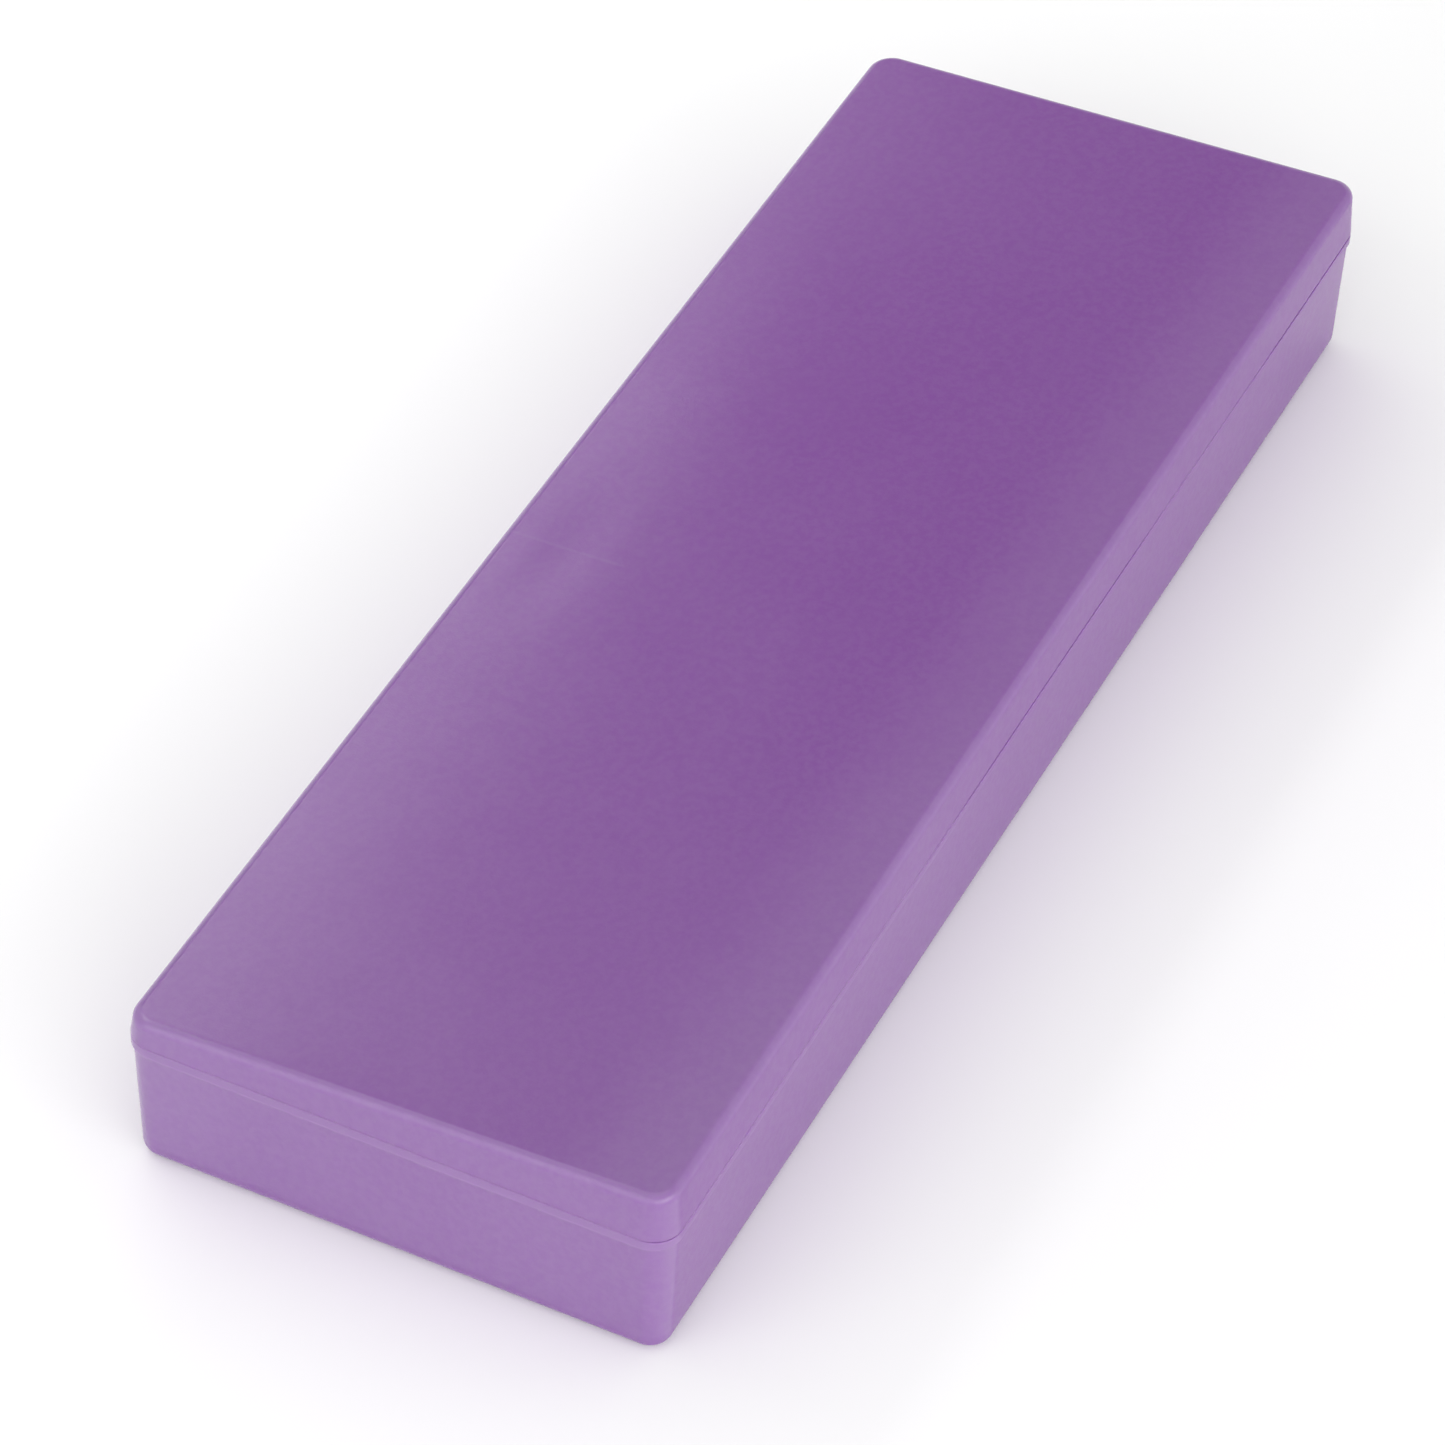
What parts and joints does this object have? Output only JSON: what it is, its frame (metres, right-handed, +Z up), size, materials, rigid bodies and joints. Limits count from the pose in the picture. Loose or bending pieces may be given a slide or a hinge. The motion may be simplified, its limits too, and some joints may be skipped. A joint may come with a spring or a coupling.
{
  "type": "pencil case",
  "caption": "Slim hinged pencil case in frosted translucent purple polypropylene: deep base tray and shallow, slightly wedge-shaped snap-shut lid joined by film-hinge webs along one long side.",
  "frame": {"origin": "middle of the base shell's flat underside", "axes": "+X along the case's length, +Y towards the hinge side, +Z up out of the lid"},
  "size_m": [0.205, 0.0705, 0.0264],
  "materials": {
    "shell_plastic": "frosted translucent, fine even grain",
    "hinge_plastic": "frosted translucent, smoother and paler where thin"
  },
  "bodies": {
    "base": {"base_shell": "shell_plastic", "hinge_leaf_base_left": "hinge_plastic", "hinge_leaf_base_right": "hinge_plastic"},
    "lid": {"lid_shell": "shell_plastic", "hinge_leaf_lid_left": "hinge_plastic", "hinge_leaf_lid_right": "hinge_plastic"}
  },
  "joints": [
    {"name": "lid_hinge", "type": "hinge", "parent": "base", "child": "lid", "pos_m": [0, 0.03545, 0.0197], "axis": [-1, 0, 0], "range_deg": [0, 175]}
  ]
}
